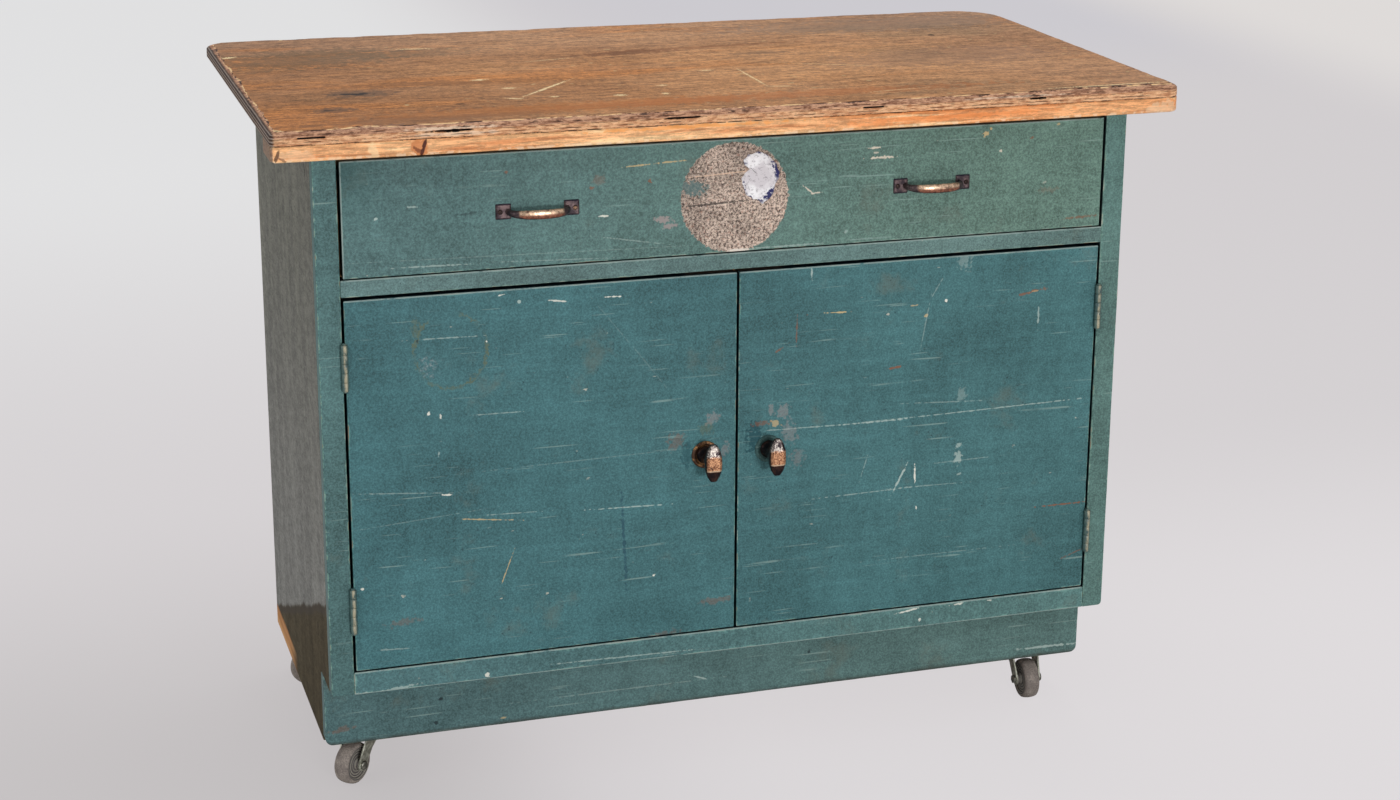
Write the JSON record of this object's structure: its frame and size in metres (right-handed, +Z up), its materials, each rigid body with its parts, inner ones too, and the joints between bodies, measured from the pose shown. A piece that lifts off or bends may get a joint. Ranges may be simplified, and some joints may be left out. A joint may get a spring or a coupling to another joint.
{
  "type": "workshop cabinet",
  "caption": "Low painted wooden cabinet on swivel casters: a wide drawer over a cupboard with doors and a shelf, under a thick overhanging wooden worktop.",
  "frame": {"origin": "on the floor, midway under the worktop, at the middle of its length and of its depth", "axes": "+Z up, +X along the front towards the viewer's right, -Y out of the front with the doors and the drawer"},
  "size_m": [1.094, 0.597, 0.842],
  "materials": {
    "worktop_face": "worn and stained orange-brown plywood face",
    "pine": "dull orange pine",
    "side_paint": "thin worn grey-green paint",
    "paint": "satin teal paint, worn through at the edges",
    "drawer_paint": "satin grey-teal paint, chipped",
    "raw_wood": "sawn, unfinished",
    "plywood": "unfinished plywood",
    "hinge_paint": "painted over, bare along the barrels",
    "steel": "dull",
    "pull_metal": "copper plate worn dark in the hollows",
    "knob_metal": "dark bronze with rubbed facets",
    "rosette_metal": "rubbed bare",
    "zinc": "zinc plate, dull",
    "wheel_rubber": "grey, dusty"
  },
  "bodies": {
    "carcass": {"worktop_ply": "worktop_face", "worktop_core": "pine", "side_left": "side_paint", "side_right": "side_paint", "stile_left": "paint", "stile_right": "paint", "middle_rail": "paint", "bottom_rail": "paint", "toe_kick": "paint", "rear_plinth": "raw_wood", "bottom_panel": "plywood", "back_panel": "plywood", "shelf": "plywood", "shelf_cleats": "raw_wood", "top_stretchers": "raw_wood", "worktop_screws": "steel", "drawer_runners": "raw_wood", "drawer_guides": "raw_wood", "drawer_kickers": "raw_wood", "door_stop": "raw_wood", "latch_keepers": "steel", "caster_boards": "raw_wood", "hinge_frame_leaves": "hinge_paint", "hinge_pins": "steel", "hinge_frame_screws": "steel", "caster_plates": "zinc", "caster_kingpins": "steel", "caster_screws": "steel"},
    "drawer": {"drawer_front": "drawer_paint", "drawer_sides": "raw_wood", "drawer_back": "raw_wood", "drawer_bottom": "plywood", "pull_left": "pull_metal", "pull_right": "pull_metal", "pull_screws": "knob_metal"},
    "left_door": {"door_left": "paint", "hinge_leaves_left": "hinge_paint", "hinge_screws_left": "steel", "rosette_left": "rosette_metal"},
    "right_door": {"door_right": "paint", "hinge_leaves_right": "hinge_paint", "hinge_screws_right": "steel", "rosette_right": "paint"},
    "left_knob": {"knob_left": "knob_metal", "latch_left": "steel"},
    "right_knob": {"knob_right": "knob_metal", "latch_right": "steel"},
    "front_left_fork": {"fork_front_left": "zinc", "axle_front_left": "steel"},
    "front_left_wheel": {"wheel_front_left": "wheel_rubber"},
    "front_right_fork": {"fork_front_right": "zinc", "axle_front_right": "steel"},
    "front_right_wheel": {"wheel_front_right": "wheel_rubber"},
    "rear_left_fork": {"fork_rear_left": "zinc", "axle_rear_left": "steel"},
    "rear_left_wheel": {"wheel_rear_left": "wheel_rubber"},
    "rear_right_fork": {"fork_rear_right": "zinc", "axle_rear_right": "steel"},
    "rear_right_wheel": {"wheel_rear_right": "wheel_rubber"}
  },
  "joints": [
    {"name": "drawer_slide", "type": "slide", "parent": "carcass", "child": "drawer", "axis": [0, -1, 0], "range_m": [0, 0.36]},
    {"name": "left_door_hinge", "type": "hinge", "parent": "carcass", "child": "left_door", "pos_m": [-0.4685, -0.2608, 0.41275], "axis": [0, 0, -1], "range_deg": [0, 175]},
    {"name": "right_door_hinge", "type": "hinge", "parent": "carcass", "child": "right_door", "pos_m": [0.4685, -0.2608, 0.41275], "axis": [0, 0, 1], "range_deg": [0, 175]},
    {"name": "left_knob_turn", "type": "hinge", "parent": "left_door", "child": "left_knob", "pos_m": [-0.04, -0.2565, 0.414], "axis": [0, 1, 0], "range_deg": [0, 90]},
    {"name": "right_knob_turn", "type": "hinge", "parent": "right_door", "child": "right_knob", "pos_m": [0.04, -0.2565, 0.414], "axis": [0, -1, 0], "range_deg": [0, 90]},
    {"name": "front_left_swivel", "type": "hinge", "parent": "carcass", "child": "front_left_fork", "pos_m": [-0.443, -0.1455, 0.065], "axis": [0, 0, 1], "continuous": true},
    {"name": "front_left_roll", "type": "hinge", "parent": "front_left_fork", "child": "front_left_wheel", "pos_m": [-0.4617, -0.16356, 0.026], "axis": [0.6947, -0.7193, 0], "continuous": true},
    {"name": "front_right_swivel", "type": "hinge", "parent": "carcass", "child": "front_right_fork", "pos_m": [0.437, -0.1455, 0.065], "axis": [0, 0, 1], "continuous": true},
    {"name": "front_right_roll", "type": "hinge", "parent": "front_right_fork", "child": "front_right_wheel", "pos_m": [0.43564, -0.17146, 0.026], "axis": [0.9986, -0.0523, 0], "continuous": true},
    {"name": "rear_left_swivel", "type": "hinge", "parent": "carcass", "child": "rear_left_fork", "pos_m": [-0.443, 0.1595, 0.065], "axis": [0, 0, 1], "continuous": true},
    {"name": "rear_left_roll", "type": "hinge", "parent": "rear_left_fork", "child": "rear_left_wheel", "pos_m": [-0.46596, 0.14729, 0.026], "axis": [0.4695, -0.8829, 0], "continuous": true},
    {"name": "rear_right_swivel", "type": "hinge", "parent": "carcass", "child": "rear_right_fork", "pos_m": [0.437, 0.1595, 0.065], "axis": [0, 0, 1], "continuous": true},
    {"name": "rear_right_roll", "type": "hinge", "parent": "rear_right_fork", "child": "rear_right_wheel", "pos_m": [0.44758, 0.13575, 0.026], "axis": [0.9135, 0.4067, 0], "continuous": true}
  ]
}
